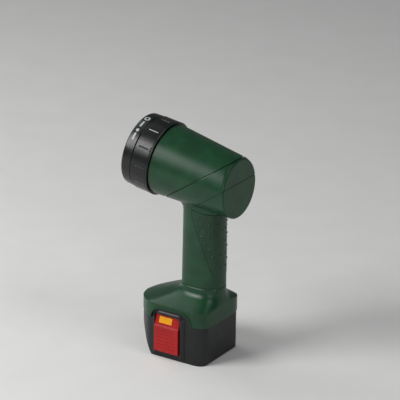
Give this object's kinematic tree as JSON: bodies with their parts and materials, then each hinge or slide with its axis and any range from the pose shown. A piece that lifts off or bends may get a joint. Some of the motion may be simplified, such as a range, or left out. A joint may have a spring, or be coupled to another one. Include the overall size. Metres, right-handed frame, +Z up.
{
  "type": "toy hand lamp",
  "caption": "Toy cordless hand lamp in the shape of a drill, with a swivel head, a turning mode ring, a turning colour disc and a slide-out battery pack with side release buttons.",
  "frame": {"origin": "middle of the flat foot under the battery pack", "axes": "+X the way the lamp shines, +Y the lamp's left, +Z up"},
  "size_m": [0.1114, 0.071, 0.2216],
  "materials": {
    "green_plastic": "glossy moulded",
    "grip_plastic": "satin moulded",
    "black_plastic": "satin moulded",
    "pack_plastic": "satin moulded",
    "red_plastic": "glossy moulded",
    "yellow_plastic": "glossy moulded",
    "white_plastic": "moulded",
    "clear_window": "clear moulded",
    "red_window": "tinted clear",
    "amber_window": "tinted clear",
    "green_window": "tinted clear",
    "reflector_chrome": "bright metallised",
    "bulb_glass": "clear",
    "board_laminate": "laminate",
    "contact_brass": "stamped",
    "screw_steel": "plated",
    "cell_wrap": "plain wrap"
  },
  "bodies": {
    "handle": {"handle_left": "green_plastic", "handle_right": "green_plastic", "handle_screws": "screw_steel", "grip_pad_left": "grip_plastic", "grip_pad_right": "grip_plastic", "neck_collar": "green_plastic", "swivel_bush": "white_plastic", "bush_nut": "screw_steel", "slip_disc": "contact_brass", "contact_strips": "contact_brass"},
    "head": {"head_left": "green_plastic", "head_right": "green_plastic", "head_screws": "screw_steel", "lamp_tube": "black_plastic", "mode_board": "board_laminate", "bezel": "black_plastic", "bezel_marks": "white_plastic", "reflector": "reflector_chrome", "bulb": "bulb_glass", "bulb_holder": "black_plastic", "slip_wipers": "contact_brass"},
    "mode": {"mode_ring": "black_plastic", "mode_pointer": "white_plastic", "mode_contacts": "contact_brass"},
    "colour": {"colour_disc": "black_plastic", "filter_clear": "clear_window", "filter_red": "red_window", "filter_amber": "amber_window", "filter_green": "green_window"},
    "pack": {"battery_case": "pack_plastic", "battery_cover": "pack_plastic", "cover_screw": "screw_steel", "cells": "cell_wrap", "cell_contacts": "contact_brass", "pack_terminals": "contact_brass", "button_springs": "screw_steel"},
    "button_left": {"release_button_left": "red_plastic", "button_plate_left": "yellow_plastic"},
    "button_right": {"release_button_right": "red_plastic", "button_plate_right": "yellow_plastic"}
  },
  "joints": [
    {"name": "head_swivel", "type": "hinge", "parent": "handle", "child": "head", "pos_m": [-0.01188, 0, 0.17663], "axis": [0.5592, 0, 0.829], "range_deg": [0, 180]},
    {"name": "mode_turn", "type": "hinge", "parent": "head", "child": "mode", "pos_m": [0.0296, 0, 0.1832], "axis": [0.9877, 0, 0.1564], "range_deg": [-19, 19]},
    {"name": "colour_turn", "type": "hinge", "parent": "head", "child": "colour", "pos_m": [0.0296, 0, 0.1832], "axis": [0.9877, 0, 0.1564], "continuous": true},
    {"name": "pack_slide", "type": "slide", "parent": "handle", "child": "pack", "axis": [0, 0, -1], "range_m": [0, 0.05]},
    {"name": "button_left_press", "type": "slide", "parent": "pack", "child": "button_left", "axis": [0, -1, 0], "range_m": [0, 0.0025], "stiffness_N_per_m": 1500},
    {"name": "button_right_press", "type": "slide", "parent": "pack", "child": "button_right", "axis": [0, 1, 0], "range_m": [0, 0.0025], "stiffness_N_per_m": 1500}
  ]
}
